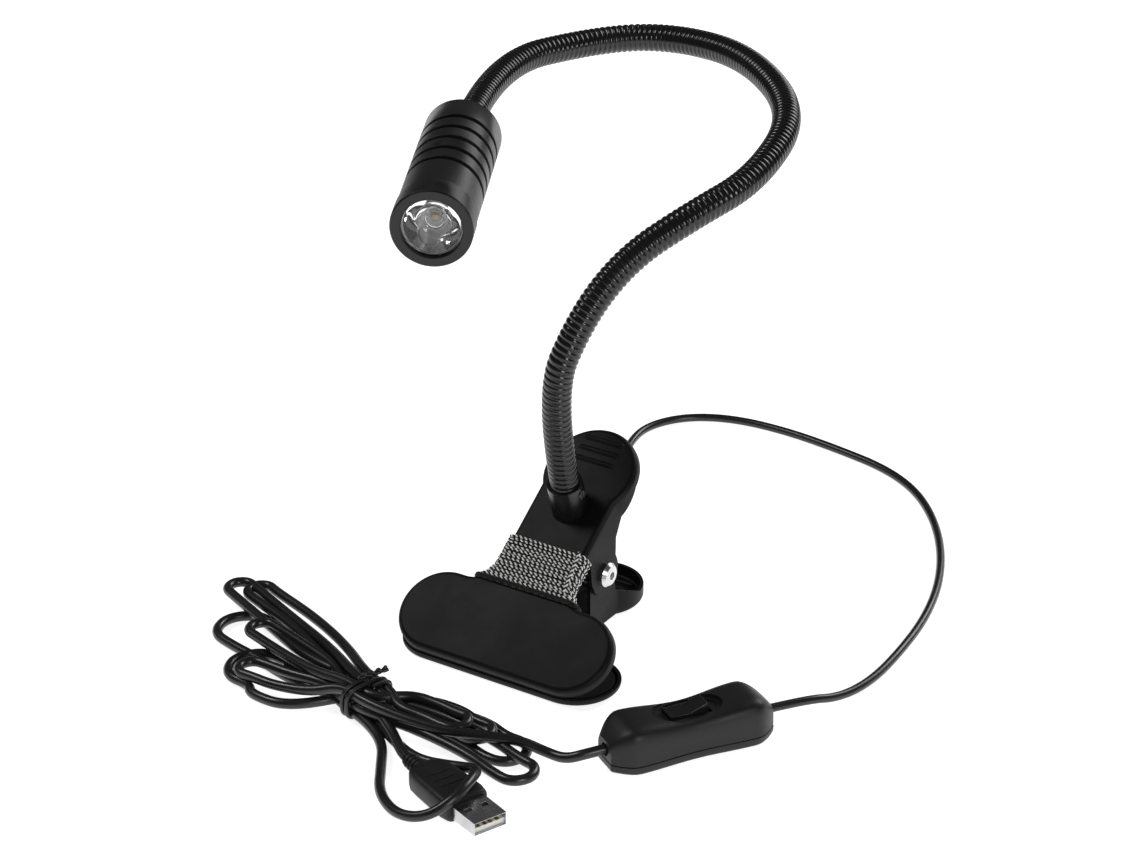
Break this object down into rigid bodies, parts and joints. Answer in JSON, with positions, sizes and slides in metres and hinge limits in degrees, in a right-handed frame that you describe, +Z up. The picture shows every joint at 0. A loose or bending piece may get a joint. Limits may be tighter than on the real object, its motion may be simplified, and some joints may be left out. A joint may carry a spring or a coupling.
{
  "type": "clip-on reading lamp",
  "caption": "Black clip-on reading lamp: spring clamp with knitted grips, ribbed gooseneck, slim turned LED head, and a USB lead with an inline rocker switch.",
  "frame": {"origin": "on the flat underside of the lower clamp plate, on its centreline, 20 mm in front of the pivot; the lamp stands on a table on this face", "axes": "+Z up from the table; +Y from the jaws to the finger levers; +X along the jaw, towards the head of the pivot screw"},
  "size_m": [0.2142, 0.2955, 0.1682],
  "materials": {
    "powder_coated_steel": "satin black powder coat on pressed steel",
    "pad_rubber": "thin matte black rubber sheet",
    "knit": "elastic knit of black and white yarn",
    "bright_screw": "polished nickel plate",
    "screw_steel": "dark plated steel",
    "spring_steel": "oiled spring wire",
    "gooseneck": "gloss black coated steel hose, wound in ribs",
    "cord_jacket": "satin black PVC jacket",
    "black_rubber": "matte black rubber",
    "anodised_aluminium": "satin black anodised, turned",
    "board": "white solder mask on an aluminium disc",
    "phosphor": "yellow phosphor under a clear dome",
    "clear_acrylic": "clear moulded acrylic",
    "holder_plastic": "white moulded plastic",
    "matte_black_plastic": "fine-textured black plastic",
    "gloss_black_plastic": "polished black plastic",
    "contact_brass": "stamped brass",
    "nickel_steel": "nickel plated folded steel",
    "tongue_plastic": "white moulded plastic"
  },
  "bodies": {
    "clamp": {"cable_grommet": "black_rubber", "cord_hank": "cord_jacket", "cord_tail": "cord_jacket", "hank_tie": "black_rubber", "lead_cord": "cord_jacket", "neck_lead_0": "cord_jacket", "neck_link_0": "gooseneck", "neck_socket": "powder_coated_steel", "pivot_nut": "bright_screw", "pivot_screw": "bright_screw", "plug_grip": "matte_black_plastic", "socket_set_screw": "screw_steel", "switch_base": "matte_black_plastic", "switch_cover": "matte_black_plastic", "switch_screws": "screw_steel", "switch_terminals": "contact_brass", "torsion_spring": "spring_steel", "upper_jaw_pad": "pad_rubber", "upper_knit_sleeve": "knit", "upper_plate": "powder_coated_steel", "usb_contacts": "contact_brass", "usb_cord": "cord_jacket", "usb_shell": "nickel_steel", "usb_tongue": "tongue_plastic"},
    "lower_jaw": {"lower_plate": "powder_coated_steel", "lower_jaw_pad": "pad_rubber", "lower_knit_sleeve": "knit"},
    "rocker": {"rocker": "gloss_black_plastic", "contact_bridge": "contact_brass"},
    "neck_1": {"neck_link_1": "gooseneck", "neck_lead_1": "cord_jacket"},
    "neck_2": {"neck_link_2": "gooseneck", "neck_lead_2": "cord_jacket"},
    "neck_3": {"neck_link_3": "gooseneck", "neck_lead_3": "cord_jacket"},
    "neck_4": {"neck_link_4": "gooseneck", "neck_lead_4": "cord_jacket"},
    "neck_5": {"neck_link_5": "gooseneck", "neck_lead_5": "cord_jacket"},
    "neck_6": {"neck_link_6": "gooseneck", "neck_lead_6": "cord_jacket"},
    "neck_7": {"neck_link_7": "gooseneck", "neck_lead_7": "cord_jacket"},
    "neck_8": {"neck_link_8": "gooseneck", "neck_lead_8": "cord_jacket"},
    "neck_9": {"neck_link_9": "gooseneck", "neck_lead_9": "cord_jacket", "head_body": "anodised_aluminium", "front_ring": "anodised_aluminium", "led_board": "board", "led_chip": "phosphor", "lens": "clear_acrylic", "lens_holder": "holder_plastic"}
  },
  "joints": [
    {"name": "neck_bend_1", "type": "hinge", "parent": "clamp", "child": "neck_1", "pos_m": [0.0045, 0.00975, 0.1035], "axis": [0.9714, -0.0788, -0.2241], "range_deg": [-20, 20]},
    {"name": "neck_bend_2", "type": "hinge", "parent": "neck_1", "child": "neck_2", "pos_m": [0.01175, 0.0225, 0.1255], "axis": [-0.1092, 0.7474, -0.6553], "range_deg": [-20, 20]},
    {"name": "neck_bend_3", "type": "hinge", "parent": "neck_2", "child": "neck_3", "pos_m": [0.02175, 0.03975, 0.1395], "axis": [-0.842, 0.304, 0.4456], "range_deg": [-20, 20]},
    {"name": "neck_bend_4", "type": "hinge", "parent": "neck_3", "child": "neck_4", "pos_m": [0.0325, 0.0625, 0.148], "axis": [-0.3359, 0.3096, -0.8895], "range_deg": [-20, 20]},
    {"name": "neck_bend_5", "type": "hinge", "parent": "neck_4", "child": "neck_5", "pos_m": [0.033, 0.0965, 0.15475], "axis": [0.9179, 0.2373, -0.318], "range_deg": [-20, 20]},
    {"name": "neck_bend_6", "type": "hinge", "parent": "neck_5", "child": "neck_6", "pos_m": [0.01025, 0.13375, 0.15975], "axis": [0.2023, 0.1543, 0.9671], "range_deg": [-20, 20]},
    {"name": "neck_bend_7", "type": "hinge", "parent": "neck_6", "child": "neck_7", "pos_m": [-0.02725, 0.15625, 0.1595], "axis": [0.3021, 0.9186, -0.2548], "range_deg": [-20, 20]},
    {"name": "neck_bend_8", "type": "hinge", "parent": "neck_7", "child": "neck_8", "pos_m": [-0.0585, 0.156, 0.157], "axis": [0.1962, -0.2509, -0.9479], "range_deg": [-20, 20]},
    {"name": "neck_bend_9", "type": "hinge", "parent": "neck_8", "child": "neck_9", "pos_m": [-0.079, 0.125, 0.157], "axis": [-0.9045, 0.2765, -0.3247], "range_deg": [-20, 20]},
    {"name": "jaw_hinge", "type": "hinge", "parent": "clamp", "child": "lower_jaw", "pos_m": [0, 0.02, 0.0215], "axis": [1, 0, 0], "range_deg": [0, 35], "stiffness_Nm_per_rad": 0.35, "springref_deg": -97.4, "deforming": ["torsion_spring"]},
    {"name": "rocker_tilt", "type": "hinge", "parent": "clamp", "child": "rocker", "pos_m": [0.0765, -0.0292, 0.0105], "axis": [-0.848, 0.53, 0], "range_deg": [0, 18]}
  ]
}
